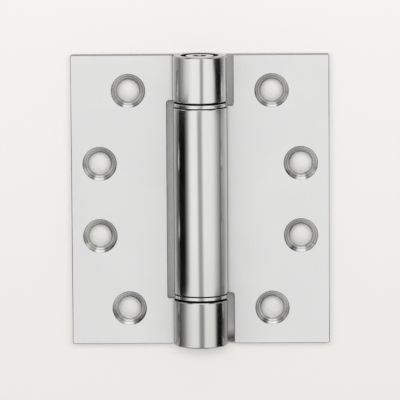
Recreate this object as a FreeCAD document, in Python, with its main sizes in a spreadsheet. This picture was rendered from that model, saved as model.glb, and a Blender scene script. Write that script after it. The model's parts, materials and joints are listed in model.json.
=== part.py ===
import FreeCAD, Part
import os
import Sketcher

# Single-action spring hinge for a door, modelled open flat, in millimetres.
# The pin axis is Z and its middle is the origin. The screw heads enter from the front, which faces -Y.
# The frame leaf reaches to -X and rolls into the top and bottom knuckles.
# The door leaf reaches to +X and rolls into the long centre knuckle, which holds the spring.
# A spindle in the top knuckle winds the spring, and a stud in the bottom knuckle is the lower pivot.

# Driving sizes: name, value, meaning
SIZES = [
    ("leaf_height", "100", "height of both leaves and of the whole barrel"),
    ("leaf_reach", "44.2", "pin axis to the outer edge of a leaf"),
    ("leaf_thickness", "3", "thickness of the sheet, also the wall of each knuckle"),
    ("axis_setback", "2", "front face of the leaves behind the pin axis"),
    ("barrel_diameter", "18.3", "outside of the knuckles"),
    ("end_knuckle_length", "15.75", "length of the top and of the bottom knuckle"),
    ("running_gap", "0.5", "end knuckle to the flange of a bush"),
    ("knuckle_edge_break", "0.35", "bevel on the ends of the knuckles"),
    ("seam_gap", "0.2", "slit where the rolled edge comes back to its leaf"),
    ("swage_radius", "2.5", "hollow behind the leaf where it rises into the knuckle"),
    ("notch_gap", "2.25", "barrel to the edge of the opposite leaf"),
    ("notch_corner_radius", "1", "inside corners of the notches"),
    ("leaf_corner_radius", "0.7", "outside corners of the leaves"),
    ("leaf_edge_break", "0.2", "bevel round the faces of the leaves"),
    ("screw_hole_diameter", "7.4", "straight part of a screw hole"),
    ("countersink_diameter", "11.8", "mouth of a countersink"),
    ("countersink_angle", "90", "full angle of a countersink, degrees"),
    ("inboard_hole_reach", "24.55", "pin axis to the upper and lower screw holes"),
    ("inboard_hole_spacing", "75.2", "upper to lower screw hole"),
    ("outboard_hole_reach", "34.45", "pin axis to the two middle screw holes"),
    ("outboard_hole_spacing", "25", "between the two middle screw holes"),
    ("flange_thickness", "1.45", "ring of a bush that shows between the knuckles"),
    ("flange_setback", "0.15", "flange below the outside of the knuckles"),
    ("flange_edge_break", "0.25", "bevel on the outside of a flange"),
    ("sleeve_length", "6.5", "length of a bush inside the centre knuckle"),
    ("press_clearance", "0.03", "all round a piece that is pressed in"),
    ("journal_diameter", "7.5", "turned journals of the spindle and the stud"),
    ("journal_clearance", "0.08", "all round a journal in its bush"),
    ("seat_clearance", "0.3", "end play between pieces stacked along the axis"),
    ("plug_recess", "0.15", "spindle and stud below the ends of the barrel"),
    ("plug_edge_break", "0.9", "bevel on the outer end of the stud"),
    ("face_diameter", "9.8", "raised face on the outer end of the spindle"),
    ("face_height", "1.2", "how far that face stands up"),
    ("face_edge_break", "0.2", "bevel round that face"),
    ("spindle_clearance", "0.1", "all round the spindle in the top knuckle"),
    ("socket_width", "4", "hexagon socket across its flats"),
    ("socket_depth", "5", "depth of the hexagon socket"),
    ("socket_mouth", "4.9", "cone at the mouth of the hexagon socket, across"),
    ("tension_hole_diameter", "3.2", "radial holes in the spindle for a tension pin"),
    ("tension_hole_depth", "2.6", "depth of those holes"),
    ("tension_hole_count", "6", "number of those holes round the spindle"),
    ("tension_hole_drop", "8.4", "top of the barrel down to those holes"),
    ("window_length", "10.6", "window in the back of the top knuckle, across"),
    ("window_height", "4", "window in the back of the top knuckle, upright"),
    ("ring_wire", "1.2", "side of the square wire of the retaining ring"),
    ("ring_bite", "0.55", "retaining ring into the wall of the top knuckle"),
    ("ring_drop", "3.4", "top of the barrel down to the retaining ring"),
    ("ring_clearance", "0.15", "room for the retaining ring in its grooves"),
    ("ring_opening", "40", "open part of the retaining ring, degrees"),
    ("drive_width", "5.2", "square end of the spindle across its flats"),
    ("drive_clearance", "0.1", "all round that square in the collar"),
    ("collar_height", "5", "height of the spring collar"),
    ("collar_clearance", "0.3", "all round the collar in the centre knuckle"),
    ("wire_width", "1.8", "side of the square spring wire"),
    ("coil_clearance", "0.65", "all round the spring in the centre knuckle"),
    ("coil_gap", "0.2", "least gap between the coils of the spring"),
    ("tang_length", "3.2", "end of the spring that stands in the collar or the anchor"),
    ("tang_clearance", "0.15", "all round a tang in its notch"),
    ("anchor_height", "6.5", "height of the spring anchor"),
    ("pin_diameter", "3", "cross pins of the anchor and the stud"),
    ("pin_grip", "3.6", "cross pin into the anchor or the stud"),
    ("pin_recess", "0.15", "outer end of a cross pin below the barrel"),
]

doc = FreeCAD.newDocument("SpringHinge")
sheet = doc.addObject("Spreadsheet::Sheet", "Sizes")
for row, (alias, value, meaning) in enumerate(SIZES, start=1):
    sheet.set(f"A{row}", alias)
    sheet.set(f"B{row}", value)
    sheet.set(f"C{row}", meaning)
    sheet.setAlias(f"B{row}", alias)
doc.recompute()

# Sizes that follow from the driving ones, as expressions on the sheet
BARREL_RADIUS = "(Sizes.barrel_diameter / 2)"
BORE_RADIUS = f"({BARREL_RADIUS} - Sizes.leaf_thickness)"
WALL_RADIUS = f"({BARREL_RADIUS} - Sizes.leaf_thickness / 2)"
LEAF_BACK = "(Sizes.axis_setback + Sizes.leaf_thickness)"
LEAF_MIDDLE = "(Sizes.axis_setback + Sizes.leaf_thickness / 2)"
NOTCH_REACH = f"({BARREL_RADIUS} + Sizes.notch_gap)"
# A leaf runs into the wall of its knuckle as far as the middle of that wall.
TONGUE_REACH = f"sqrt({WALL_RADIUS} ^ 2 - {LEAF_MIDDLE} ^ 2)"
JOURNAL_RADIUS = "(Sizes.journal_diameter / 2)"
PRESSED_RADIUS = f"({BORE_RADIUS} - Sizes.press_clearance)"
SPINDLE_RADIUS = f"({BORE_RADIUS} - Sizes.spindle_clearance)"
PLUG_LENGTH = "(Sizes.end_knuckle_length - Sizes.plug_recess)"
PIN_HOLE_RADIUS = "(Sizes.pin_diameter / 2 + Sizes.press_clearance)"

# Levels along the axis, from the top down
TOP = "(Sizes.leaf_height / 2)"
END_FACE = f"({TOP} - Sizes.end_knuckle_length)"
CENTRE_END = f"({END_FACE} - Sizes.running_gap - Sizes.flange_thickness)"
TENSION_LEVEL = f"({TOP} - Sizes.tension_hole_drop)"
RING_LEVEL = f"({TOP} - Sizes.ring_drop)"
STACK_END = f"({CENTRE_END} - Sizes.sleeve_length - Sizes.seat_clearance)"
COLLAR_BASE = f"({STACK_END} - Sizes.collar_height)"
ANCHOR_BASE = f"(-{STACK_END})"
ANCHOR_TOP = f"({ANCHOR_BASE} + Sizes.anchor_height)"
STUD_PIN_LEVEL = f"(-{TOP} + Sizes.end_knuckle_length / 2)"
ANCHOR_PIN_LEVEL = f"({ANCHOR_BASE} + Sizes.anchor_height / 2)"

# Coils of the spring: as many as fit between the anchor and the collar
COIL_RADIUS = f"({BORE_RADIUS} - Sizes.coil_clearance - Sizes.wire_width / 2)"
COIL_RISE = f"({COLLAR_BASE} - {ANCHOR_TOP} - 2 * Sizes.seat_clearance - Sizes.wire_width)"
COIL_COUNT = f"floor({COIL_RISE} / (Sizes.wire_width + Sizes.coil_gap))"
TANG_INSIDE = f"({COIL_RADIUS} - Sizes.wire_width / 2 - Sizes.tang_clearance)"


def value(expression):
    """Return the number that an expression on the sheet gives."""
    return float(sheet.evalExpression(expression))


def new_body(label):
    """Add a body with its own label."""
    body = doc.addObject("PartDesign::Body", label)
    body.Label = label
    return body


def origin_feature(body, role):
    """Return one of the body's own origin planes or axes."""
    return next(item for item in body.Origin.OriginFeatures if item.Role == role)


def new_sketch(body, name, plane, offset=None):
    """Add a sketch on an origin plane of the body, moved along that plane's normal by an expression."""
    sketch = body.newObject("Sketcher::SketchObject", name)
    sketch.AttachmentSupport = [(origin_feature(body, plane), "")]
    sketch.MapMode = "FlatFace"
    if offset is not None:
        sketch.setExpression("AttachmentOffset.Base.z", offset)
    return sketch


def bind(sketch, kind, elements, name, expression):
    """Add a dimension to a sketch and tie it to an expression."""
    index = sketch.addConstraint(Sketcher.Constraint(kind, *elements, value(expression)))
    sketch.renameConstraint(index, name)
    sketch.setExpression(f"Constraints.{name}", expression)


def draw_outline(sketch, corners):
    """Draw a closed outline whose corners are pairs of expressions."""
    first = sketch.GeometryCount
    count = len(corners)
    points = [FreeCAD.Vector(value(x), value(y), 0) for x, y in corners]
    for i in range(count):
        sketch.addGeometry(Part.LineSegment(points[i], points[(i + 1) % count]), False)
    for i in range(count):
        line = first + i
        following = first + (i + 1) % count
        sketch.addConstraint(Sketcher.Constraint("Coincident", line, 2, following, 1))
        bind(sketch, "DistanceX", (-1, 1, line, 1), f"across_{line}", corners[i][0])
        bind(sketch, "DistanceY", (-1, 1, line, 1), f"along_{line}", corners[i][1])


def draw_circle(sketch, x, y, radius):
    """Draw a circle whose centre and radius are expressions."""
    centre = FreeCAD.Vector(value(x), value(y), 0)
    circle = sketch.addGeometry(Part.Circle(centre, FreeCAD.Vector(0, 0, 1), value(radius)), False)
    bind(sketch, "DistanceX", (-1, 1, circle, 3), f"across_{circle}", x)
    bind(sketch, "DistanceY", (-1, 1, circle, 3), f"along_{circle}", y)
    bind(sketch, "Radius", (circle,), f"radius_{circle}", radius)


def draw_box(sketch, low_x, high_x, low_y, high_y):
    """Draw a rectangle between four expressions."""
    draw_outline(sketch, [(low_x, low_y), (high_x, low_y), (high_x, high_y), (low_x, high_y)])


def draw_slot(sketch, length, height, level):
    """Draw a level slot with round ends, centred across at a level."""
    radius = f"({height} / 2)"
    reach = f"({length} / 2 - {radius})"
    right = FreeCAD.Vector(value(reach), value(level), 0)
    left = FreeCAD.Vector(-value(reach), value(level), 0)
    rise = FreeCAD.Vector(0, value(radius), 0)
    side = FreeCAD.Vector(value(radius), 0, 0)
    right_end = sketch.addGeometry(Part.Arc(right - rise, right + side, right + rise), False)
    left_end = sketch.addGeometry(Part.Arc(left + rise, left - side, left - rise), False)
    upper = sketch.addGeometry(Part.LineSegment(right + rise, left + rise), False)
    lower = sketch.addGeometry(Part.LineSegment(left - rise, right - rise), False)
    sketch.addConstraint(Sketcher.Constraint("Tangent", right_end, 2, upper, 1))
    sketch.addConstraint(Sketcher.Constraint("Tangent", upper, 2, left_end, 1))
    sketch.addConstraint(Sketcher.Constraint("Tangent", left_end, 2, lower, 1))
    sketch.addConstraint(Sketcher.Constraint("Tangent", lower, 2, right_end, 1))
    sketch.addConstraint(Sketcher.Constraint("Equal", right_end, left_end))
    bind(sketch, "Radius", (right_end,), "end_radius", radius)
    bind(sketch, "DistanceX", (-1, 1, right_end, 3), "right_reach", reach)
    bind(sketch, "DistanceY", (-1, 1, right_end, 3), "right_level", level)
    bind(sketch, "DistanceX", (left_end, 3, -1, 1), "left_reach", reach)


def extrude(body, kind, name, sketch, length, backwards=False, both_ways=False):
    """Pad or pocket a sketch by an expression. A pad follows the sketch's normal, a pocket goes against it."""
    feature = body.newObject(f"PartDesign::{kind}", name)
    feature.Profile = sketch
    feature.Type = "Length"
    if both_ways:
        feature.SideType = "Symmetric"
    feature.Reversed = backwards
    feature.Length = value(length)
    feature.setExpression("Length", length)
    doc.recompute()
    return feature


def turn(body, kind, name, sketch, angle=None):
    """Revolve or groove a sketch about its upright axis, all the way or by an expression."""
    feature = body.newObject(f"PartDesign::{kind}", name)
    feature.Profile = sketch
    feature.ReferenceAxis = (sketch, ["V_Axis"])
    feature.Angle = 360
    if angle is not None:
        feature.setExpression("Angle", angle)
    doc.recompute()
    return feature


def edges_where(feature, test):
    """Name the edges of a feature whose middle point and end points pass a test."""
    names = []
    for number, edge in enumerate(feature.Shape.Edges, start=1):
        middle = edge.valueAt((edge.FirstParameter + edge.LastParameter) / 2)
        ends = [vertex.Point for vertex in edge.Vertexes]
        if test(middle, ends):
            names.append(f"Edge{number}")
    return names


def upright_to_face(x, z):
    """Return a test for the straight edge through the sheet's thickness at a corner of the leaf."""
    def test(middle, ends):
        return all(abs(point.x - x) < 0.01 and abs(point.z - z) < 0.01 for point in [middle] + ends)
    return test


def round_corners(body, name, base, corners, radius):
    """Round the corners of a leaf, given as pairs of expressions, by an expression."""
    names = []
    for x, z in corners:
        names += edges_where(base, upright_to_face(value(x), value(z)))
    feature = body.newObject("PartDesign::Fillet", name)
    feature.Base = (base, names)
    feature.Radius = value(radius)
    feature.setExpression("Radius", radius)
    doc.recompute()
    return feature


def break_face_edges(body, name, base, levels, size):
    """Bevel every edge that lies in the given levels of Y."""
    heights = [value(level) for level in levels]

    def test(middle, ends):
        return any(all(abs(point.y - y) < 0.01 for point in [middle] + ends) for y in heights)

    feature = body.newObject("PartDesign::Chamfer", name)
    feature.Base = (base, edges_where(base, test))
    feature.Size = value(size)
    feature.setExpression("Size", size)
    doc.recompute()
    return feature


def knuckle_section(low, high):
    """Corners of the wall of one knuckle between two levels, with bevelled ends."""
    bevel = "Sizes.knuckle_edge_break"
    return [
        (f"{BORE_RADIUS} + {bevel}", low),
        (f"{BARREL_RADIUS} - {bevel}", low),
        (BARREL_RADIUS, f"{low} + {bevel}"),
        (BARREL_RADIUS, f"{high} - {bevel}"),
        (f"{BARREL_RADIUS} - {bevel}", high),
        (f"{BORE_RADIUS} + {bevel}", high),
        (BORE_RADIUS, f"{high} - {bevel}"),
        (BORE_RADIUS, f"{low} + {bevel}"),
    ]


def add_swage(body, name, side, low, high):
    """Fill the hollow behind the leaf with an arc that touches the leaf's back and the knuckle."""
    radius = "Sizes.swage_radius"
    centre_y = f"({LEAF_BACK} + {radius})"
    centre_x = f"sqrt(({BARREL_RADIUS} + {radius}) ^ 2 - {centre_y} ^ 2)"
    share = f"{BARREL_RADIUS} / ({BARREL_RADIUS} + {radius})"
    on_leaf = FreeCAD.Vector(side * value(centre_x), value(LEAF_BACK), 0)
    on_knuckle = FreeCAD.Vector(side * value(f"{centre_x} * {share}"), value(f"{centre_y} * {share}"), 0)
    inside = FreeCAD.Vector(side * value(TONGUE_REACH), value(LEAF_MIDDLE), 0)
    centre = FreeCAD.Vector(side * value(centre_x), value(centre_y), 0)
    halfway = (on_leaf + on_knuckle) * 0.5 - centre
    halfway = centre + halfway * (value(radius) / halfway.Length)

    sketch = new_sketch(body, name + "_section", "XY_Plane", low)
    to_leaf = sketch.addGeometry(Part.LineSegment(inside, on_leaf), False)
    hollow = sketch.addGeometry(Part.Arc(on_leaf, halfway, on_knuckle), False)
    to_inside = sketch.addGeometry(Part.LineSegment(on_knuckle, inside), False)
    # An arc always runs from its first to its last point the same way round, so its ends swap with the side.
    leaf_end, knuckle_end = (2, 1) if side > 0 else (1, 2)
    sketch.addConstraint(Sketcher.Constraint("Coincident", to_leaf, 2, hollow, leaf_end))
    sketch.addConstraint(Sketcher.Constraint("Coincident", hollow, knuckle_end, to_inside, 1))
    sketch.addConstraint(Sketcher.Constraint("Coincident", to_inside, 2, to_leaf, 1))
    sign = "" if side > 0 else "-"
    bind(sketch, "DistanceX", (-1, 1, to_leaf, 1), "inside_x", f"{sign}{TONGUE_REACH}")
    bind(sketch, "DistanceY", (-1, 1, to_leaf, 1), "inside_y", LEAF_MIDDLE)
    bind(sketch, "DistanceX", (-1, 1, hollow, 3), "centre_x", f"{sign}{centre_x}")
    bind(sketch, "DistanceY", (-1, 1, hollow, 3), "centre_y", centre_y)
    bind(sketch, "Radius", (hollow,), "hollow_radius", radius)
    bind(sketch, "DistanceX", (-1, 1, to_leaf, 2), "leaf_x", f"{sign}{centre_x}")
    bind(sketch, "DistanceX", (-1, 1, to_inside, 1), "knuckle_x", f"{sign}{centre_x} * {share}")
    return extrude(body, "Pad", name, sketch, f"{high} - ({low})")


def make_leaf(label, side, outline, outer_corners, notch_corners, knuckles):
    """Make one rolled leaf that reaches to the given side, +1 or -1, with knuckles between pairs of levels."""
    sign = "" if side > 0 else "-"
    body = new_body(label)

    # The flat part, cut to its outline with the notches for the other leaf's knuckles
    blank = new_sketch(body, label + "_blank", "XZ_Plane", "-Sizes.axis_setback")
    draw_outline(blank, [(f"{sign}{x}", z) for x, z in outline])
    plate = extrude(body, "Pad", label + "_plate", blank, "Sizes.leaf_thickness", backwards=True)
    signed_outer = [(f"{sign}{x}", z) for x, z in outer_corners]
    signed_notch = [(f"{sign}{x}", z) for x, z in notch_corners]
    plate = round_corners(body, label + "_corners", plate, signed_outer, "Sizes.leaf_corner_radius")
    plate = round_corners(body, label + "_notch_corners", plate, signed_notch, "Sizes.notch_corner_radius")
    faces = ["Sizes.axis_setback", LEAF_BACK]
    break_face_edges(body, label + "_edges", plate, faces, "Sizes.leaf_edge_break")

    # The knuckles, rolled from the same sheet round the pin axis
    wall = new_sketch(body, label + "_wall", "XZ_Plane")
    for low, high in knuckles:
        draw_outline(wall, knuckle_section(low, high))
    turn(body, "Revolution", label + "_knuckles", wall)
    for number, (low, high) in enumerate(knuckles, start=1):
        add_swage(body, f"{label}_swage_{number}", side, low, high)

    # The slit in front, where the end of the roll comes back to the face of the leaf
    slit = new_sketch(body, label + "_slit", "XY_Plane")
    draw_box(slit, "0", f"{sign}{BARREL_RADIUS}", "Sizes.axis_setback - Sizes.seam_gap", "Sizes.axis_setback")
    extrude(body, "Pocket", label + "_seam", slit, "Sizes.leaf_height", both_ways=True)

    # Four countersunk screw holes, staggered
    centres = new_sketch(body, label + "_screws", "XZ_Plane", "-Sizes.axis_setback")
    for reach, spacing in (("inboard_hole_reach", "inboard_hole_spacing"),
                           ("outboard_hole_reach", "outboard_hole_spacing")):
        for level in (f"Sizes.{spacing} / 2", f"-Sizes.{spacing} / 2"):
            draw_circle(centres, f"{sign}Sizes.{reach}", level, "Sizes.screw_hole_diameter / 2")
    doc.recompute()
    holes = body.newObject("PartDesign::Hole", label + "_screw_holes")
    holes.Profile = centres
    holes.ThreadType = "None"
    holes.DepthType = "ThroughAll"
    holes.HoleCutType = "Countersink"
    holes.HoleCutCustomValues = True
    holes.setExpression("Diameter", "Sizes.screw_hole_diameter")
    holes.setExpression("HoleCutDiameter", "Sizes.countersink_diameter")
    holes.setExpression("HoleCutCountersinkAngle", "Sizes.countersink_angle")
    doc.recompute()
    return body


def drill_back(body, name, level):
    """Drill the hole for a cross pin through the back wall of the barrel at a level."""
    sketch = new_sketch(body, name + "_circle", "XZ_Plane")
    draw_circle(sketch, "0", level, PIN_HOLE_RADIUS)
    return extrude(body, "Pocket", name, sketch, BARREL_RADIUS)


def drill_plug(body, name, level):
    """Drill the blind hole for a cross pin into the back of a pressed plug at a level."""
    sketch = new_sketch(body, name + "_circle", "XZ_Plane", f"-{PRESSED_RADIUS}")
    draw_circle(sketch, "0", level, PIN_HOLE_RADIUS)
    return extrude(body, "Pocket", name, sketch, "Sizes.pin_grip", backwards=True)


def make_frame_leaf():
    """Left leaf with the top and bottom knuckles, the tension window and the groove of the retaining ring."""
    outline = [
        ("Sizes.leaf_reach", f"-{TOP}"), ("Sizes.leaf_reach", TOP),
        (TONGUE_REACH, TOP), (TONGUE_REACH, END_FACE),
        (NOTCH_REACH, END_FACE), (NOTCH_REACH, f"-{END_FACE}"),
        (TONGUE_REACH, f"-{END_FACE}"), (TONGUE_REACH, f"-{TOP}"),
    ]
    outer = [("Sizes.leaf_reach", TOP), ("Sizes.leaf_reach", f"-{TOP}")]
    notch = [(NOTCH_REACH, END_FACE), (NOTCH_REACH, f"-{END_FACE}")]
    knuckles = [(END_FACE, TOP), (f"-{TOP}", f"-{END_FACE}")]
    body = make_leaf("frame_leaf", -1, outline, outer, notch, knuckles)

    window = new_sketch(body, "window_slot", "XZ_Plane")
    draw_slot(window, "Sizes.window_length", "Sizes.window_height", TENSION_LEVEL)
    extrude(body, "Pocket", "window", window, BARREL_RADIUS)

    groove = new_sketch(body, "ring_groove_section", "XZ_Plane")
    half_groove = "(Sizes.ring_wire / 2 + Sizes.ring_clearance)"
    draw_box(groove, WALL_RADIUS + " - Sizes.leaf_thickness", f"{BORE_RADIUS} + Sizes.ring_bite",
             f"{RING_LEVEL} - {half_groove}", f"{RING_LEVEL} + {half_groove}")
    turn(body, "Groove", "ring_groove", groove)
    drill_back(body, "stud_pin_hole", STUD_PIN_LEVEL)
    return body


def make_door_leaf():
    """Right leaf with the long centre knuckle, drilled for the anchor's cross pin."""
    outline = [
        ("Sizes.leaf_reach", f"-{TOP}"), ("Sizes.leaf_reach", TOP),
        (NOTCH_REACH, TOP), (NOTCH_REACH, CENTRE_END),
        (TONGUE_REACH, CENTRE_END), (TONGUE_REACH, f"-{CENTRE_END}"),
        (NOTCH_REACH, f"-{CENTRE_END}"), (NOTCH_REACH, f"-{TOP}"),
    ]
    outer = [("Sizes.leaf_reach", TOP), ("Sizes.leaf_reach", f"-{TOP}"),
             (NOTCH_REACH, TOP), (NOTCH_REACH, f"-{TOP}")]
    notch = [(NOTCH_REACH, CENTRE_END), (NOTCH_REACH, f"-{CENTRE_END}")]
    body = make_leaf("door_leaf", 1, outline, outer, notch, [(f"-{CENTRE_END}", CENTRE_END)])
    drill_back(body, "anchor_pin_hole", ANCHOR_PIN_LEVEL)
    return body


def make_bush(label):
    """Flanged bush: the sleeve goes down into the centre knuckle and the flange lies on its end at level 0."""
    body = new_body(label)
    inside = f"({JOURNAL_RADIUS} + Sizes.journal_clearance)"
    flange = f"({BARREL_RADIUS} - Sizes.flange_setback)"
    bevel = "Sizes.flange_edge_break"
    section = new_sketch(body, label + "_section", "XZ_Plane")
    draw_outline(section, [
        (inside, "-Sizes.sleeve_length"),
        (f"{PRESSED_RADIUS} - {bevel}", "-Sizes.sleeve_length"),
        (PRESSED_RADIUS, f"-Sizes.sleeve_length + {bevel}"),
        (PRESSED_RADIUS, "0"),
        (f"{flange} - {bevel}", "0"),
        (flange, bevel),
        (flange, f"Sizes.flange_thickness - {bevel}"),
        (f"{flange} - {bevel}", "Sizes.flange_thickness"),
        (inside, "Sizes.flange_thickness"),
    ])
    turn(body, "Revolution", label + "_turned", section)
    return body


def make_spindle():
    """Adjusting spindle: head with a hexagon socket, tension holes and a ring groove, journal, square end."""
    body = new_body("adjusting_spindle")
    bevel = "Sizes.face_edge_break"
    face_radius = "(Sizes.face_diameter / 2)"
    face_base = f"({PLUG_LENGTH} - Sizes.face_height)"
    journal_end = f"({END_FACE} - {STACK_END})"
    ring_level = "(Sizes.end_knuckle_length - Sizes.ring_drop)"
    half_groove = "(Sizes.ring_wire / 2 + Sizes.ring_clearance)"
    groove_radius = f"({BORE_RADIUS} + Sizes.ring_bite - Sizes.ring_wire - Sizes.ring_clearance)"
    section = new_sketch(body, "spindle_section", "XZ_Plane")
    draw_outline(section, [
        ("0", f"-{journal_end}"),
        (JOURNAL_RADIUS, f"-{journal_end}"),
        (JOURNAL_RADIUS, "0"),
        (f"{SPINDLE_RADIUS} - Sizes.knuckle_edge_break", "0"),
        (SPINDLE_RADIUS, "Sizes.knuckle_edge_break"),
        (SPINDLE_RADIUS, f"{ring_level} - {half_groove}"),
        (groove_radius, f"{ring_level} - {half_groove}"),
        (groove_radius, f"{ring_level} + {half_groove}"),
        (SPINDLE_RADIUS, f"{ring_level} + {half_groove}"),
        (SPINDLE_RADIUS, face_base),
        (face_radius, face_base),
        (face_radius, f"{PLUG_LENGTH} - {bevel}"),
        (f"{face_radius} - {bevel}", PLUG_LENGTH),
        ("0", PLUG_LENGTH),
    ])
    turn(body, "Revolution", "spindle_turned", section)

    drive = new_sketch(body, "drive_square", "XY_Plane", f"-{journal_end}")
    half_drive = "(Sizes.drive_width / 2)"
    draw_box(drive, f"-{half_drive}", half_drive, f"-{half_drive}", half_drive)
    extrude(body, "Pad", "drive", drive, "Sizes.collar_height", backwards=True)

    socket = new_sketch(body, "socket_hexagon", "XY_Plane", PLUG_LENGTH)
    corner = "(Sizes.socket_width / sqrt(3))"
    flat = "(Sizes.socket_width / 2)"
    draw_outline(socket, [
        (corner, "0"), (f"{corner} / 2", flat), (f"-{corner} / 2", flat),
        (f"-{corner}", "0"), (f"-{corner} / 2", f"-{flat}"), (f"{corner} / 2", f"-{flat}"),
    ])
    extrude(body, "Pocket", "socket", socket, "Sizes.socket_depth")

    mouth = new_sketch(body, "socket_mouth_section", "XZ_Plane")
    draw_outline(mouth, [
        ("0", f"{PLUG_LENGTH} - Sizes.socket_mouth / 2"),
        ("Sizes.socket_mouth / 2", PLUG_LENGTH),
        ("0", PLUG_LENGTH),
    ])
    turn(body, "Groove", "socket_mouth_cone", mouth)

    hole = new_sketch(body, "tension_circle", "XZ_Plane", f"-{SPINDLE_RADIUS}")
    draw_circle(hole, "0", "Sizes.end_knuckle_length - Sizes.tension_hole_drop", "Sizes.tension_hole_diameter / 2")
    drilled = extrude(body, "Pocket", "tension_hole", hole, "Sizes.tension_hole_depth", backwards=True)
    ring = body.newObject("PartDesign::PolarPattern", "tension_holes")
    ring.Originals = [drilled]
    ring.Axis = (origin_feature(body, "Z_Axis"), [""])
    ring.Angle = 360
    ring.setExpression("Occurrences", "Sizes.tension_hole_count")
    body.Tip = ring
    return body


def make_retaining_ring():
    """Open wire ring, half in the wall of the top knuckle and half in the groove of the spindle."""
    body = new_body("retaining_ring")
    section = new_sketch(body, "ring_wire_section", "XZ_Plane")
    outside = f"({BORE_RADIUS} + Sizes.ring_bite - Sizes.press_clearance)"
    draw_box(section, f"{outside} - Sizes.ring_wire", outside, "-Sizes.ring_wire / 2", "Sizes.ring_wire / 2")
    turn(body, "Revolution", "ring_bent", section, "360 - Sizes.ring_opening")
    return body


def cut_tang_notch(body, name, level, depth, low_y, high_y, backwards):
    """Cut the notch for a spring tang out of the rim of a plug, from a level."""
    sketch = new_sketch(body, name + "_section", "XY_Plane", level)
    draw_box(sketch, TANG_INSIDE, BARREL_RADIUS, low_y, high_y)
    return extrude(body, "Pocket", name, sketch, depth, backwards=backwards)


def make_collar():
    """Spring collar: a disc on the square end of the spindle, notched for the upper tang."""
    body = new_body("spring_collar")
    disc = new_sketch(body, "collar_circle", "XY_Plane")
    draw_circle(disc, "0", "0", f"{BORE_RADIUS} - Sizes.collar_clearance")
    extrude(body, "Pad", "collar_disc", disc, "Sizes.collar_height")
    square = new_sketch(body, "collar_square", "XY_Plane", "Sizes.collar_height")
    half_square = "(Sizes.drive_width / 2 + Sizes.drive_clearance)"
    draw_box(square, f"-{half_square}", half_square, f"-{half_square}", half_square)
    extrude(body, "Pocket", "collar_bore", square, "Sizes.collar_height")
    cut_tang_notch(body, "collar_notch", "0", "Sizes.tang_length + Sizes.tang_clearance",
                   "-Sizes.wire_width - Sizes.tang_clearance", "Sizes.tang_clearance", True)
    return body


def make_spring():
    """Left-handed torsion spring of square wire, with a tang along the axis at each end."""
    body = new_body("torsion_spring")
    half_wire = "(Sizes.wire_width / 2)"
    inner = f"({COIL_RADIUS} - {half_wire})"
    outer = f"({COIL_RADIUS} + {half_wire})"
    section = new_sketch(body, "wire_section", "XZ_Plane")
    draw_box(section, inner, outer, f"-{half_wire}", half_wire)
    doc.recompute()
    coils = body.newObject("PartDesign::AdditiveHelix", "coils")
    coils.Profile = section
    coils.ReferenceAxis = (section, ["V_Axis"])
    coils.Mode = "pitch-turns-angle"
    coils.LeftHanded = True
    coils.Pitch = value(f"{COIL_RISE} / {COIL_COUNT}")
    coils.Turns = value(COIL_COUNT)
    coils.setExpression("Pitch", f"{COIL_RISE} / {COIL_COUNT}")
    coils.setExpression("Turns", COIL_COUNT)
    doc.recompute()

    reach = "Sizes.wire_width + Sizes.seat_clearance + Sizes.tang_length"
    lower = new_sketch(body, "lower_tang_section", "XY_Plane", half_wire)
    draw_box(lower, inner, outer, "0", "Sizes.wire_width")
    extrude(body, "Pad", "lower_tang", lower, reach, backwards=True)
    upper = new_sketch(body, "upper_tang_section", "XY_Plane", f"{COIL_RISE} - {half_wire}")
    draw_box(upper, inner, outer, "-Sizes.wire_width", "0")
    extrude(body, "Pad", "upper_tang", upper, reach)
    return body


def make_anchor():
    """Spring anchor: a plug in the centre knuckle, notched for the lower tang and drilled for its cross pin."""
    body = new_body("spring_anchor")
    disc = new_sketch(body, "anchor_circle", "XY_Plane")
    draw_circle(disc, "0", "0", PRESSED_RADIUS)
    extrude(body, "Pad", "anchor_disc", disc, "Sizes.anchor_height")
    cut_tang_notch(body, "anchor_notch", "Sizes.anchor_height", "Sizes.tang_length + Sizes.tang_clearance",
                   "-Sizes.tang_clearance", "Sizes.wire_width + Sizes.tang_clearance", False)
    drill_plug(body, "anchor_cross_hole", "Sizes.anchor_height / 2")
    return body


def make_stud():
    """Pivot stud: its body fills the bottom knuckle and its journal stands up into the lower bush."""
    body = new_body("pivot_stud")
    bevel = "Sizes.plug_edge_break"
    journal_top = "(Sizes.running_gap + Sizes.flange_thickness + Sizes.sleeve_length)"
    section = new_sketch(body, "stud_section", "XZ_Plane")
    draw_outline(section, [
        ("0", f"-{PLUG_LENGTH}"),
        (f"{PRESSED_RADIUS} - {bevel}", f"-{PLUG_LENGTH}"),
        (PRESSED_RADIUS, f"-{PLUG_LENGTH} + {bevel}"),
        (PRESSED_RADIUS, "-Sizes.knuckle_edge_break"),
        (f"{PRESSED_RADIUS} - Sizes.knuckle_edge_break", "0"),
        (JOURNAL_RADIUS, "0"),
        (JOURNAL_RADIUS, journal_top),
        ("0", journal_top),
    ])
    turn(body, "Revolution", "stud_turned", section)
    drill_plug(body, "stud_cross_hole", "-Sizes.end_knuckle_length / 2")
    return body


def make_cross_pin(label):
    """Plain pin along Y, driven from the back of the barrel into the plug behind its wall."""
    body = new_body(label)
    circle = new_sketch(body, label + "_circle", "XZ_Plane")
    draw_circle(circle, "0", "0", "Sizes.pin_diameter / 2")
    length = "Sizes.pin_grip + Sizes.leaf_thickness - Sizes.pin_recess"
    extrude(body, "Pad", label + "_turned", circle, length, backwards=True)
    body.setExpression("Placement.Base.y", f"{BORE_RADIUS} - Sizes.pin_grip")
    return body


def place(body, level):
    """Put a piece at its level on the pin axis."""
    body.setExpression("Placement.Base.z", level)
    return body


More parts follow.
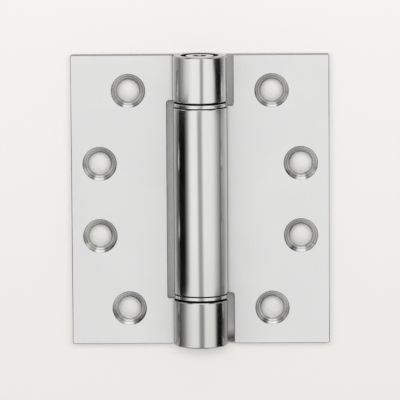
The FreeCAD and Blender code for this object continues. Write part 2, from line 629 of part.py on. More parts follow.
frame_leaf = make_frame_leaf()
door_leaf = make_door_leaf()
upper_bush = place(make_bush("upper_bush"), CENTRE_END)
lower_bush = make_bush("lower_bush")
lower_bush.Placement = FreeCAD.Placement(FreeCAD.Vector(), FreeCAD.Rotation(FreeCAD.Vector(1, 0, 0), 180))
place(lower_bush, f"-{CENTRE_END}")
spindle = place(make_spindle(), END_FACE)
retaining_ring = place(make_retaining_ring(), RING_LEVEL)
collar = place(make_collar(), COLLAR_BASE)
spring = place(make_spring(), f"{ANCHOR_TOP} + Sizes.seat_clearance + Sizes.wire_width / 2")
anchor = place(make_anchor(), ANCHOR_BASE)
anchor_pin = place(make_cross_pin("anchor_pin"), ANCHOR_PIN_LEVEL)
stud = place(make_stud(), f"-{END_FACE}")
stud_pin = place(make_cross_pin("stud_pin"), STUD_PIN_LEVEL)
doc.recompute()

pieces = [frame_leaf, door_leaf, upper_bush, lower_bush, spindle, retaining_ring, collar, spring, anchor,
          anchor_pin, stud, stud_pin]

# Nothing is written unless every feature came out and every piece is one sound solid.
for item in doc.Objects:
    if "Invalid" in item.State or "Error" in item.State:
        raise RuntimeError(f"{item.Name} failed: {item.State}")
for piece in pieces:
    if piece.Shape.isNull() or not piece.Shape.isValid() or len(piece.Shape.Solids) != 1:
        raise RuntimeError(f"{piece.Label} is not one sound solid")

os.makedirs("parts", exist_ok=True)
for piece in pieces:
    piece.Shape.exportStep(f"parts/{piece.Label}.step")
    box = piece.Shape.BoundBox
    print(f"{piece.Label}: {piece.Shape.Volume:.1f} mm3,"
          f" x {box.XMin:.2f} to {box.XMax:.2f}, y {box.YMin:.2f} to {box.YMax:.2f}, z {box.ZMin:.2f} to {box.ZMax:.2f}")
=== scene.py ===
import json
import math

import bpy
import numpy as np
from mathutils import Matrix, Vector


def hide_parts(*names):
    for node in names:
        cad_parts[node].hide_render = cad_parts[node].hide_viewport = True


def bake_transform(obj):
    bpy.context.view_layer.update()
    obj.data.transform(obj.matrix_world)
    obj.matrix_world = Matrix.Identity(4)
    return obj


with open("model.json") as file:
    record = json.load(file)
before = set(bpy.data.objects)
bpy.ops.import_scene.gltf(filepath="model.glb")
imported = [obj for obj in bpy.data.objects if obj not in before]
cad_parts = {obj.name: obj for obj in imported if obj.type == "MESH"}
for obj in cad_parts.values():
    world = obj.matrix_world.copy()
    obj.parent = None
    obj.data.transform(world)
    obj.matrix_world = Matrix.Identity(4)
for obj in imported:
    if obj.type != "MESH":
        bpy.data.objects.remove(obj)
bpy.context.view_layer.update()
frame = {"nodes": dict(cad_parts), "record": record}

nodes = frame["nodes"]
scene = bpy.context.scene
MM = 0.001

# Sizes of the hinge that the finishes follow, in millimetres
# The leaves: both faces, a level just inside their ends, the sheared top ends, and the screw holes
LEAF_FRONT = 2.0
LEAF_BACK = 5.0
LEAF_END = 49.5
SHEARED_LEVEL = 49.7
INBOARD_HOLE = (24.55, 37.6)
OUTBOARD_HOLE = (34.45, 12.5)
COUNTERSINK_RADIUS = 5.9

# The barrel: radii just outside its surface and its bore, of the painted shade on its end faces, and of the
# corner where the roll comes back to its leaf
BARREL_EDGE = 9.2
BORE_EDGE = 6.6
END_FACE_EDGE = 8.95
ROLL_CORNER = 9.4

# The joints between its knuckles, and the groove below each flange: middle level and reach up and down
JOINT_LEVEL = 33.2
JOINT_REACH = 1.6
GROOVE_LEVEL = 32.3
GROOVE_REACH = 0.21

# The spindle: the groove round its face by level, reach and inner radius, and the key's socket
PLUG_GROOVE = (49.1, 0.7, 4.72)
SOCKET_LEVEL = 47.0
SOCKET_REACH = 2.835
SOCKET_EDGE = 2.6

# The spring's square wire from inside to outside, its turns, the ends of its tangs, and the middle of the
# wire where the coil starts and ends
COIL_INSIDE = 3.7
COIL_OUTSIDE = 5.5
COIL_TURNS = 18
COIL_STEPS = 96
TANG_LEVELS = (-22.2, 23.7)
COIL_LEVELS = (-17.8, 19.3)

# The camera, worked out from the hinge's known edges and holes in the photograph
CAMERA_DISTANCE = 1.632
CAMERA_AZIMUTH = math.radians(0.63)
CAMERA_ELEVATION = math.radians(8.09)
CAMERA_ROLL = math.radians(0.36)
CAMERA_LENS = 429.0
SENSOR_WIDTH = 36.0
SHIFT_X = -0.0010
SHIFT_Y = 0.0010

# Backdrop paper, from the top of the view to its foot, painted paler towards the top as light falls, and its
# painted shade in narrow gaps
PAPER_HIGH = "#F3F1EF"
PAPER_LOW = "#EDEBE8"
PAPER_MIDDLE = "#EFEDEA"
PAPER_SHADE = "#9C9D9B"
# The part of its brightness that the paper gives off itself, in the open and behind the hinge
GLOW = 0.5
COVERED_GLOW = 0.25
# How near the hinge has to be to grey the paper, and the strip beside the barrel where the right gaps lie
GAP_SIGHT = 14.0
GAP_MIDDLE = 10.5
GAP_REACH = 1.6

# Painted shade in gaps, bores and grooves, matt and nearly black
GAP_SHADE = "#171614"


def linear(colour):
    """A colour written as sRGB hex, turned to the linear values that Blender's sockets take."""
    parts = np.array([int(colour[i:i + 2], 16) for i in (1, 3, 5)]) / 255.0
    curve = np.where(parts <= 0.04045, parts / 12.92, ((parts + 0.055) / 1.055) ** 2.4)
    return (*map(float, curve), 1.0)


def add(tree, kind, inputs=None, **options):
    """Adds one node, sets its options, and fills its inputs: a socket is linked, anything else is set."""
    node = tree.nodes.new("ShaderNode" + kind)
    for name, choice in options.items():
        setattr(node, name, choice)
    for name, given in (inputs or {}).items():
        if isinstance(given, bpy.types.NodeSocket):
            tree.links.new(given, node.inputs[name])
        else:
            node.inputs[name].default_value = given
    return node


def set_stops(ramp_node, stops):
    """Gives a colour ramp its stops, each a place from 0 to 1 and a linear grey."""
    elements = ramp_node.color_ramp.elements
    while len(elements) > 1:
        elements.remove(elements[-1])
    elements[0].position, first = stops[0]
    elements[0].color = (first, first, first, 1.0)
    for place, grey in stops[1:]:
        elements.new(place).color = (grey, grey, grey, 1.0)


def new_material(name):
    """An empty node material and its tree."""
    material = bpy.data.materials.new(name)
    material.use_nodes = True
    material.node_tree.nodes.clear()
    return material, material.node_tree


def new_object(name, data):
    """Puts a mesh, a lamp or a camera into the scene."""
    thing = bpy.data.objects.new(name, data)
    scene.collection.objects.link(thing)
    return thing


def grid_mesh(name, points):
    """A mesh from an array of points in rows and columns, with one four-sided face between neighbours."""
    rows, columns = points.shape[:2]
    number = np.arange(rows * columns).reshape(rows, columns)
    faces = np.stack(
        [number[:-1, :-1], number[:-1, 1:], number[1:, 1:], number[1:, :-1]], axis=-1
    ).reshape(-1, 4)
    mesh = bpy.data.meshes.new(name)
    mesh.from_pydata(points.reshape(-1, 3).tolist(), [], faces.tolist())
    mesh.update()
    return mesh


# Finishes: what every one of them starts and ends with
def place_in_mm(tree):
    """Where a point lies in its object's frame, in millimetres, as one vector and as its three parts."""
    place = add(tree, "TexCoord").outputs["Object"]
    in_mm = add(tree, "VectorMath", {0: place, "Scale": 1.0 / MM}, operation="SCALE").outputs[0]
    return in_mm, add(tree, "SeparateXYZ", {0: in_mm}).outputs


def distance_from_pin(tree, axis):
    """How far a point lies from the pin axis, in millimetres."""
    flat = add(tree, "CombineXYZ", {"X": axis["X"], "Y": axis["Y"]}).outputs[0]
    return add(tree, "VectorMath", {0: flat}, operation="LENGTH").outputs["Value"]


def end_metal(tree, colour, rough, relief, gap_shade):
    """The last nodes of a metal: bare metal, covered by a matt, nearly black coat of painted shade where the
    shade mask is 1.
    """
    metal = add(
        tree, "BsdfPrincipled",
        {"Base Color": colour, "Metallic": 1.0, "Roughness": rough, "Normal": relief},
    ).outputs[0]
    # Painted shade: a matt, nearly black coat where the gaps are in shadow
    shade_coat = add(tree, "BsdfDiffuse", {"Color": linear(GAP_SHADE)}).outputs[0]
    shader = add(tree, "MixShader", {0: gap_shade, 1: metal, 2: shade_coat}).outputs[0]
    add(tree, "OutputMaterial", {"Surface": shader})


# The leaves' finish, by masks from 0 to 1 that tell where each part of it lies
def mask_countersinks(tree, axis, side, level):
    """The inside of all countersinks, the rings in them, and the side given a painted highlight."""
    mirrored = add(tree, "CombineXYZ", {"X": side, "Y": level}).outputs[0]
    inboard = (*INBOARD_HOLE, 0.0)
    outboard = (*OUTBOARD_HOLE, 0.0)
    to_inboard = add(tree, "VectorMath", {0: mirrored, 1: inboard}, operation="DISTANCE").outputs["Value"]
    to_outboard = add(tree, "VectorMath", {0: mirrored, 1: outboard}, operation="DISTANCE").outputs["Value"]
    to_hole = add(tree, "Math", {0: to_inboard, 1: to_outboard}, operation="MINIMUM").outputs[0]
    near_hole = add(tree, "Math", {0: to_hole, 1: COUNTERSINK_RADIUS}, operation="LESS_THAN").outputs[0]
    off_back = add(tree, "Math", {0: axis["Y"], 1: LEAF_BACK - 0.02}, operation="LESS_THAN").outputs[0]
    in_sink = add(tree, "Math", {0: near_hole, 1: off_back}, operation="MULTIPLY").outputs[0]

    # Cutter rings 0.85 mm apart, coarser than the real 0.2 mm so that they show
    ring_phase = add(tree, "Math", {0: to_hole, 1: 2 * math.pi / 0.85}, operation="MULTIPLY").outputs[0]
    ring_wave = add(tree, "Math", {0: ring_phase}, operation="SINE").outputs[0]
    rings = add(tree, "MapRange", {"Value": ring_wave, "From Min": -1.0, "From Max": 1.0}).outputs[0]

    # Each countersink gets a painted highlight outwards and towards its foot
    at_outboard = add(tree, "Math", {0: to_outboard, 1: to_inboard}, operation="LESS_THAN").outputs[0]
    middle = add(tree, "Mix", {0: at_outboard, 4: inboard, 5: outboard}, data_type="VECTOR").outputs[1]
    off_middle = add(tree, "VectorMath", {0: mirrored, 1: middle}, operation="SUBTRACT").outputs[0]
    off = add(tree, "SeparateXYZ", {0: off_middle}).outputs
    half = add(tree, "Math", {0: axis["Z"]}, operation="SIGN").outputs[0]
    rise = add(tree, "Math", {0: off["Y"], 1: half}, operation="MULTIPLY").outputs[0]
    lean = add(tree, "Math", {0: rise, 1: -0.7, 2: off["X"]}, operation="MULTIPLY_ADD").outputs[0]
    painted_highlight = add(tree, "MapRange", {"Value": lean, "From Min": -5.0, "From Max": 5.0}).outputs[0]
    return in_sink, rings, painted_highlight


def mask_gap_shade(tree, level, from_pin, on_barrel):
    """Painted shade in the bore, on the end faces at the joints, and in the groove below a flange."""
    in_bore = add(
        tree, "MapRange", {"Value": from_pin, "From Min": BORE_EDGE, "From Max": BORE_EDGE - 0.1}
    ).outputs[0]
    under_edge = add(
        tree, "MapRange", {"Value": from_pin, "From Min": END_FACE_EDGE, "From Max": END_FACE_EDGE - 0.1}
    ).outputs[0]
    at_joint = add(
        tree, "Math", {0: level, 1: JOINT_LEVEL, 2: JOINT_REACH}, operation="COMPARE"
    ).outputs[0]
    on_end = add(tree, "Math", {0: under_edge, 1: at_joint}, operation="MULTIPLY").outputs[0]
    at_groove = add(
        tree, "Math", {0: level, 1: GROOVE_LEVEL, 2: GROOVE_REACH}, operation="COMPARE"
    ).outputs[0]
    in_groove = add(tree, "Math", {0: on_barrel, 1: at_groove}, operation="MULTIPLY").outputs[0]
    in_gaps = add(tree, "Math", {0: in_bore, 1: on_end}, operation="MAXIMUM").outputs[0]
    return add(tree, "Math", {0: in_gaps, 1: in_groove}, operation="MAXIMUM").outputs[0]


def mask_roll_corner_shade(tree, axis, from_pin):
    """Painted shade in the corner where the roll comes back to its leaf, which fades to a third in 0.3 mm."""
    from_corner = add(tree, "Math", {0: from_pin, 1: ROLL_CORNER}, operation="SUBTRACT").outputs[0]
    thinning = add(tree, "Math", {0: from_corner, 1: -1 / 0.3}, operation="MULTIPLY").outputs[0]
    thickness = add(tree, "Math", {0: thinning}, operation="EXPONENT").outputs[0]
    beside_roll = add(tree, "Math", {0: thickness, 1: 0.9}, operation="MULTIPLY", use_clamp=True).outputs[0]
    on_leaf = add(tree, "Math", {0: axis["Y"], 1: LEAF_FRONT, 2: 0.12}, operation="COMPARE").outputs[0]
    return add(tree, "Math", {0: beside_roll, 1: on_leaf}, operation="MULTIPLY").outputs[0]


def mask_flank_shade(tree, axis, side, level, on_barrel, clouds):
    """Painted shade along the side of each roll next to its leaf, and on both sides of the bottom knuckle."""
    # A roll's own side is left on the end knuckles and right on the centre one
    on_ends = add(tree, "Math", {0: level, 1: JOINT_LEVEL}, operation="GREATER_THAN").outputs[0]
    turn = add(tree, "Math", {0: on_ends, 1: -2.0, 2: 1.0}, operation="MULTIPLY_ADD").outputs[0]
    own_side = add(tree, "Math", {0: axis["X"], 1: turn}, operation="MULTIPLY").outputs[0]
    on_foot = add(tree, "Math", {0: axis["Z"], 1: -JOINT_LEVEL}, operation="LESS_THAN").outputs[0]
    reach = add(tree, "Mix", {0: on_foot, 2: own_side, 3: side}, data_type="FLOAT").outputs[0]
    start = add(
        tree, "MapRange", {"Value": reach, "From Min": 6.3, "From Max": 7.2}, interpolation_type="SMOOTHSTEP"
    ).outputs[0]
    left_over = add(tree, "Math", {0: on_foot, 1: 0.4, 2: 0.4}, operation="MULTIPLY_ADD").outputs[0]
    end = add(
        tree, "MapRange",
        {"Value": reach, "From Min": 8.0, "From Max": 9.0, "To Min": 1.0, "To Max": left_over},
    ).outputs[0]
    flank = add(tree, "Math", {0: start, 1: end}, operation="MULTIPLY").outputs[0]
    on_roll = add(tree, "Math", {0: flank, 1: on_barrel}, operation="MULTIPLY").outputs[0]

    # The painted shade grows downwards, with a little more on the top knuckle, and the clouds break it up
    lower = add(
        tree, "MapRange",
        {"Value": axis["Z"], "From Min": 30.0, "From Max": -25.0, "To Min": 0.36, "To Max": 1.0},
    ).outputs[0]
    on_top = add(tree, "Math", {0: axis["Z"], 1: JOINT_LEVEL}, operation="GREATER_THAN").outputs[0]
    amount = add(tree, "Math", {0: on_top, 1: 0.3, 2: lower}, operation="MULTIPLY_ADD").outputs[0]
    streaks = add(
        tree, "MapRange", {"Value": clouds, "From Min": 0.3, "From Max": 0.7, "To Min": 0.8, "To Max": 1.15}
    ).outputs[0]
    streaky = add(tree, "Math", {0: amount, 1: streaks}, operation="MULTIPLY", use_clamp=True).outputs[0]
    return add(tree, "Math", {0: on_roll, 1: streaky}, operation="MULTIPLY").outputs[0]


def make_leaf_steel():
    """Stainless steel sheet, satin belt finish on the leaves and polished on the rolled barrel.

    The eye sees pale, almost even leaves with a hair-fine upright grain, a barrel that mirrors the room
    in crisp upright bands, and grey countersinks with the rings that the cutter left.
    """
    material, tree = new_material("satin_stainless_sheet")
    in_mm, axis = place_in_mm(tree)
    side = add(tree, "Math", {0: axis["X"]}, operation="ABSOLUTE").outputs[0]
    level = add(tree, "Math", {0: axis["Z"]}, operation="ABSOLUTE").outputs[0]

    # Distance from the pin axis tells the polished barrel from the satin leaf
    from_pin = distance_from_pin(tree, axis)
    on_barrel = add(tree, "Math", {0: from_pin, 1: BARREL_EDGE}, operation="LESS_THAN").outputs[0]
    leaf_share = add(
        tree, "MapRange", {"Value": from_pin, "From Min": BARREL_EDGE, "From Max": BARREL_EDGE + 0.15}
    ).outputs[0]

    # Upright grain: 0.45 mm wide and 30 mm long, coarser than the real 0.1 mm so that it shows
    grain_place = add(tree, "Mapping", {"Vector": in_mm, "Scale": (1 / 0.45, 1 / 0.45, 1 / 30.0)}).outputs[0]
    grain = add(
        tree, "TexNoise", {"Vector": grain_place, "Scale": 1.0, "Detail": 3.0, "Roughness": 0.6}
    ).outputs[0]
    # Handling marks: clouds about 14 mm across that dull the finish a little
    clouds_place = add(tree, "Mapping", {"Vector": in_mm, "Scale": (1 / 14, 1 / 14, 1 / 14)}).outputs[0]
    clouds = add(
        tree, "TexNoise", {"Vector": clouds_place, "Scale": 1.0, "Detail": 2.0, "Roughness": 0.5}
    ).outputs[0]

    in_sink, rings, painted_highlight = mask_countersinks(tree, axis, side, level)
    gap_shade = mask_gap_shade(tree, level, from_pin, on_barrel)
    roll_corner_shade = mask_roll_corner_shade(tree, axis, from_pin)
    flank_shade = mask_flank_shade(tree, axis, side, level, on_barrel, clouds)
    # The sheared top ends of the sheet, with the barrel's top face, are painted greyer than its faces as
    # shade
    sheared_and_shaded = add(tree, "Math", {0: axis["Z"], 1: SHEARED_LEVEL}, operation="GREATER_THAN").outputs[0]

    # Colour of the sheet: a little darker and lighter along the grain, darker towards the foot of the barrel,
    # and with painted shade on the roll's flanks
    worn = add(tree, "Mix", {0: 0.6, 2: grain, 3: clouds}, data_type="FLOAT").outputs[0]
    leaf_tint = add(
        tree, "Mix", {0: worn, 6: linear("#DFDFDF"), 7: linear("#EBEBEA")}, data_type="RGBA"
    ).outputs[2]
    polished_tint = add(
        tree, "Mix", {0: grain, 6: linear("#DEDEDB"), 7: linear("#E6E6E3")}, data_type="RGBA"
    ).outputs[2]
    downward = add(tree, "MapRange", {"Value": axis["Z"], "From Min": -10.0, "From Max": -45.0}).outputs[0]
    barrel_tint = add(
        tree, "Mix", {0: downward, 6: polished_tint, 7: linear("#D8D8D5")}, data_type="RGBA"
    ).outputs[2]
    # Painted shade on the roll's flanks
    flank_shaded = add(
        tree, "Mix", {0: flank_shade, 6: barrel_tint, 7: linear("#9C9A95")}, data_type="RGBA"
    ).outputs[2]
    faces = add(tree, "Mix", {0: leaf_share, 6: flank_shaded, 7: leaf_tint}, data_type="RGBA").outputs[2]
    sheet = add(tree, "Mix", {0: sheared_and_shaded, 6: faces, 7: linear("#9A9A97")}, data_type="RGBA").outputs[2]

    # Colour of the countersinks: greyer as painted shade, ringed, and with a painted highlight on one side
    shaded_cut = add(
        tree, "Mix", {0: rings, 6: linear("#868683"), 7: linear("#B2B2AF")}, data_type="RGBA"
    ).outputs[2]
    highlighted_cut = add(
        tree, "Mix", {0: rings, 6: linear("#D6D6D4"), 7: linear("#FDFDFB")}, data_type="RGBA"
    ).outputs[2]
    cut = add(tree, "Mix", {0: painted_highlight, 6: shaded_cut, 7: highlighted_cut}, data_type="RGBA").outputs[2]
    bright = add(tree, "Mix", {0: in_sink, 6: sheet, 7: cut}, data_type="RGBA").outputs[2]
    # Painted shade, dark grey, in the corner where the roll meets its leaf
    colour = add(tree, "Mix", {0: roll_corner_shade, 6: bright, 7: linear("#4E4D4A")}, data_type="RGBA").outputs[2]

    # Roughness: about 0.37 on the leaf, 0.13 on the barrel and 0.2 in the countersinks
    satin = add(
        tree, "MapRange", {"Value": grain, "From Min": 0.3, "From Max": 0.7, "To Min": 0.35, "To Max": 0.39}
    ).outputs[0]
    polish = add(
        tree, "MapRange", {"Value": clouds, "From Min": 0.3, "From Max": 0.7, "To Min": 0.11, "To Max": 0.16}
    ).outputs[0]
    smooth = add(tree, "Mix", {0: leaf_share, 2: polish, 3: satin}, data_type="FLOAT").outputs[0]
    rough = add(tree, "Mix", {0: in_sink, 2: smooth, 3: 0.2}, data_type="FLOAT").outputs[0]

    # Relief: the grain stands about 0.6 micrometres high, the cutter rings 4
    grain_bump = add(
        tree, "Bump", {"Height": grain, "Strength": 0.25, "Distance": 0.0025 * MM}
    ).outputs[0]
    ring_height = add(tree, "Math", {0: rings, 1: in_sink}, operation="MULTIPLY").outputs[0]
    relief = add(
        tree, "Bump", {"Height": ring_height, "Strength": 0.5, "Distance": 0.008 * MM, "Normal": grain_bump}
    ).outputs[0]
    end_metal(tree, colour, rough, relief, gap_shade)
    return material


def make_turned_finish(name, tints, roughness, line_pitch, shade_inside=0.0, shade_groove=(0.0, 0.0, 0.0)):
    """Bar steel turned on a lathe: fine rings round the pin axis, as hills and dips in colour and gloss.

    tints are the dark and the light grey of the rings, roughness its lowest and highest value. Painted shade
    covers the metal inside one radius, and in a groove given by its level above or below the middle, half its
    height and its inner radius. Lengths are in millimetres.
    """
    material, tree = new_material(name)
    in_mm, axis = place_in_mm(tree)
    from_pin = distance_from_pin(tree, axis)
    side = add(tree, "Math", {0: axis["X"]}, operation="ABSOLUTE").outputs[0]
    level = add(tree, "Math", {0: axis["Z"]}, operation="ABSOLUTE").outputs[0]
    lathe = add(tree, "CombineXYZ", {"X": from_pin, "Z": axis["Z"]}).outputs[0]
    lines = add(
        tree, "TexNoise", {"Vector": lathe, "Scale": 1.0 / line_pitch, "Detail": 2.0, "Roughness": 0.6}
    ).outputs[0]
    clouds = add(tree, "TexNoise", {"Vector": in_mm, "Scale": 1 / 6.0, "Detail": 2.0}).outputs[0]
    mixed = add(tree, "Mix", {0: 0.35, 2: lines, 3: clouds}, data_type="FLOAT").outputs[0]
    dark, light = tints
    colour = add(
        tree, "Mix", {0: mixed, 6: linear(dark), 7: linear(light)}, data_type="RGBA"
    ).outputs[2]
    low, high = roughness
    rough = add(
        tree, "MapRange", {"Value": mixed, "From Min": 0.3, "From Max": 0.7, "To Min": low, "To Max": high}
    ).outputs[0]
    relief = add(tree, "Bump", {"Height": lines, "Strength": 0.3, "Distance": 0.004 * MM}).outputs[0]

    # Painted shade inside its radius and in its groove
    inside = add(
        tree, "MapRange", {"Value": from_pin, "From Min": shade_inside, "From Max": shade_inside - 0.1}
    ).outputs[0]
    groove_level, groove_reach, groove_radius = shade_groove
    at_groove = add(
        tree, "Math", {0: level, 1: groove_level, 2: groove_reach}, operation="COMPARE"
    ).outputs[0]
    beyond = add(tree, "Math", {0: from_pin, 1: groove_radius}, operation="GREATER_THAN").outputs[0]
    in_groove = add(tree, "Math", {0: at_groove, 1: beyond}, operation="MULTIPLY").outputs[0]
    in_gaps = add(tree, "Math", {0: inside, 1: in_groove}, operation="MAXIMUM").outputs[0]
    # The painted shade also lies in the key's socket, darkest in the side corners
    corner = add(
        tree, "MapRange", {"Value": side, "From Min": 0.5, "From Max": 0.9, "To Min": 0.5, "To Max": 1.0}
    ).outputs[0]
    below_face = add(
        tree, "Math", {0: level, 1: SOCKET_LEVEL, 2: SOCKET_REACH}, operation="COMPARE"
    ).outputs[0]
    in_mouth = add(tree, "Math", {0: from_pin, 1: SOCKET_EDGE}, operation="LESS_THAN").outputs[0]
    in_hole = add(tree, "Math", {0: in_mouth, 1: below_face}, operation="MULTIPLY").outputs[0]
    in_socket = add(tree, "Math", {0: in_hole, 1: corner}, operation="MULTIPLY").outputs[0]
    gap_shade = add(tree, "Math", {0: in_gaps, 1: in_socket}, operation="MAXIMUM").outputs[0]
    end_metal(tree, colour, rough, relief, gap_shade)
    return material


FINISHES = {
    "leaf_steel": make_leaf_steel(),
    # Stainless bar, turned and polished: close bright rings
    "bush_steel": make_turned_finish(
        "polished_turned_stainless", ("#DADAD8", "#ECECEA"), (0.10, 0.18), 0.3,
        # With painted shade inside radius 8.9 and in the groove below its flange
        shade_inside=8.9, shade_groove=(GROOVE_LEVEL, GROOVE_REACH, 0.0),
    ),
    # Free-cutting steel, turned and bright zinc plated: a cooler, softer shine
    "turned_steel": make_turned_finish(
        # With painted shade in the groove round the spindle's face and in the corners of the key's socket
        "zinc_plated_turned_steel", ("#C3C5C6", "#DCDEDF"), (0.20, 0.32), 0.35, shade_groove=PLUG_GROOVE
    ),
    # Oil-tempered spring wire: a thin dark oxide with a dull shine
    "spring_steel": make_turned_finish("oil_tempered_spring_wire", ("#46423F", "#5E5955"), (0.32, 0.45), 0.4),
}
for entry in frame["record"]["subparts"]:
    piece = nodes[entry["node"]]
    piece.material_slots[0].material = FINISHES[entry["material_slot"]]


# The spring twists when the door or the spindle turns, so two halves stand for the solid one
def make_spring_half(name, first_turn, last_turn, tang_end):
    """Half of the spring: a square section carried up a left-handed helix, with a tang along the axis.

    A point of the coil is at the angle minus turn times a full turn, at the wire's inside or outside radius,
    and at the middle level of its turn less or plus half the wire. The tang is the same section set level,
    and its corner with the coil is cut at 45 degrees. Sections run from the bottom to the top.
    """
    wire = COIL_OUTSIDE - COIL_INSIDE
    low, high = COIL_LEVELS
    steps = round((last_turn - first_turn) * COIL_STEPS)
    turn = np.linspace(first_turn, last_turn, steps + 1)
    radius = np.array([COIL_INSIDE, COIL_OUTSIDE, COIL_OUTSIDE, COIL_INSIDE])
    height = np.array([-0.5, -0.5, 0.5, 0.5]) * wire
    angle = -2.0 * np.pi * turn[:, None]
    level = low + (high - low) * turn[:, None] / COIL_TURNS + height
    sections = np.stack([radius * np.cos(angle), radius * np.sin(angle), level], axis=-1)

    # The tang's two sections take the place of the coil's section at that end
    corner = np.empty((2, 4, 3))
    corner[:, :, 0] = radius
    if tang_end == "bottom":
        corner[:, :, 1] = (0.0, 0.0, wire, wire)
        corner[0, :, 2] = TANG_LEVELS[0]
        corner[1, :, 2] = low + height
        sections = np.concatenate([corner, sections[1:]])
    else:
        corner[:, :, 1] = (-wire, -wire, 0.0, 0.0)
        corner[0, :, 2] = high + height
        corner[1, :, 2] = TANG_LEVELS[1]
        sections = np.concatenate([sections[:-1], corner])

    # Faces: four sides between neighbouring sections, and a cap on each end
    number = np.arange(len(sections) * 4).reshape(-1, 4)
    following = np.roll(number, -1, axis=1)
    sides = np.stack([number[:-1], following[:-1], following[1:], number[1:]], axis=-1).reshape(-1, 4)
    faces = np.concatenate([sides, number[:1, ::-1], number[-1:]])
    mesh = bpy.data.meshes.new(name)
    mesh.from_pydata((sections.reshape(-1, 3) * MM).tolist(), [], faces.tolist())
    mesh.update()
    mesh.materials.append(FINISHES["spring_steel"])
    half = new_object(name, mesh)
    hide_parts("torsion_spring")
    return half


# Two halves: the lower one ends in the bottom tang, the upper one in the top tang
lower_half = make_spring_half("torsion_spring_lower", 0.0, COIL_TURNS / 2, "bottom")
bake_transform(lower_half)
upper_half = make_spring_half("torsion_spring_upper", COIL_TURNS / 2, COIL_TURNS, "top")
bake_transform(upper_half)


# Backdrop: an upright sheet just behind the barrel that sweeps forward into a floor under the view
def make_backdrop():
    """A paper sweep: down an upright line, round a quarter circle, and forward along the floor.

    The profile is carried straight along X. It is in y and z, by the length along it.
    """
    face_y = 9.3
    front_y = -300.0
    top_z = 420.0
    middle_z = 100.0
    floor_z = -105.0
    bend = 30.0
    half_width = 500.0
    turn = np.linspace(0.0, math.pi / 2, 25)
    bend_y = face_y - bend * (1.0 - np.cos(turn))
    bend_z = floor_z + bend - bend * np.sin(turn)
    profile_y = np.concatenate([[face_y, face_y], bend_y, [front_y]])
    profile_z = np.concatenate([[top_z, middle_z], bend_z, [floor_z]])
    across = np.linspace(half_width, -half_width, 3)
    points = np.empty((profile_y.size, across.size, 3))
    points[..., 0] = across[None, :]
    points[..., 1] = profile_y[:, None]
    points[..., 2] = profile_z[:, None]
    mesh = grid_mesh("backdrop", points * MM)
    mesh.shade_smooth()
    return new_object("backdrop", mesh)


def shade_paper(tree, axis, side, between_ends, mirrored):
    """The paper's colour: pale in the open and painted paler towards the top, painted shade in narrow gaps,
    and a painted dark line where the barrel mirrors it.
    """
    # Painted light: the open paper is paler towards the top
    climb = add(tree, "MapRange", {"Value": axis["Z"], "From Min": -70.0, "From Max": 70.0}).outputs[0]
    open_paper = add(
        tree, "Mix", {0: climb, 6: linear(PAPER_LOW), 7: linear(PAPER_HIGH)}, data_type="RGBA"
    ).outputs[2]

    # How open the paper lies: 1 away from the hinge, about a half beside the barrel, less in gaps and holes
    openness = add(tree, "AmbientOcclusion", {"Distance": GAP_SIGHT * MM}, samples=8).outputs["AO"]
    deep = add(tree, "MapRange", {"Value": openness, "From Min": 0.4, "From Max": 0.15}).outputs[0]

    # The painted shade in the gaps right of the barrel reaches up to their ends, while the leaf lies to the
    # right of them
    rightward = add(tree, "CombineXYZ", {"X": 0.85, "Y": -0.53, "Z": 0.0}).outputs[0]
    open_right = add(
        tree, "AmbientOcclusion", {"Distance": GAP_SIGHT * MM, "Normal": rightward}, samples=8
    ).outputs["AO"]
    leaf_right = add(tree, "MapRange", {"Value": open_right, "From Min": 0.9, "From Max": 0.8}).outputs[0]
    in_strip = add(
        tree, "Math", {0: axis["X"], 1: GAP_MIDDLE, 2: GAP_REACH}, operation="COMPARE"
    ).outputs[0]
    right_gap = add(tree, "Math", {0: leaf_right, 1: in_strip}, operation="MULTIPLY").outputs[0]
    ended_gap = add(tree, "Math", {0: right_gap, 1: between_ends}, operation="MULTIPLY").outputs[0]
    greyer_up = add(
        tree, "MapRange",
        {"Value": axis["Z"], "From Min": 42.0, "From Max": LEAF_END, "To Min": 0.5, "To Max": 1.0},
    ).outputs[0]
    dim_gap = add(tree, "Math", {0: ended_gap, 1: greyer_up}, operation="MULTIPLY").outputs[0]
    gap = add(tree, "Math", {0: deep, 1: dim_gap}, operation="MAXIMUM").outputs[0]
    dimmed = add(tree, "Mix", {0: gap, 6: open_paper, 7: linear(PAPER_SHADE)}, data_type="RGBA").outputs[2]

    # A painted dark shadow at the foot of the gap beside the bottom knuckle
    at_foot = add(tree, "MapRange", {"Value": axis["Z"], "From Min": -46.0, "From Max": -49.3}).outputs[0]
    off_end = add(tree, "MapRange", {"Value": axis["Z"], "From Min": -51.5, "From Max": -50.5}).outputs[0]
    foot_shadow = add(tree, "Math", {0: at_foot, 1: off_end}, operation="MULTIPLY").outputs[0]
    corner = add(tree, "Math", {0: foot_shadow, 1: right_gap}, operation="MULTIPLY").outputs[0]
    shaded = add(tree, "Mix", {0: corner, 6: dimmed, 7: linear("#2A2A29")}, data_type="RGBA").outputs[2]

    # A painted dark line on the paper nearest the barrel's sides, which only reflections see, so the barrel's
    # sides mirror it
    near = add(
        tree, "MapRange", {"Value": side, "From Min": 10.2, "From Max": 11.2, "To Min": 0.9, "To Max": 0.0}
    ).outputs[0]
    beside = add(tree, "Math", {0: near, 1: between_ends}, operation="MULTIPLY").outputs[0]
    line = add(tree, "Math", {0: beside, 1: mirrored}, operation="MULTIPLY").outputs[0]
    return add(tree, "Mix", {0: line, 6: shaded, 7: linear("#1C1C1B")}, data_type="RGBA").outputs[2]


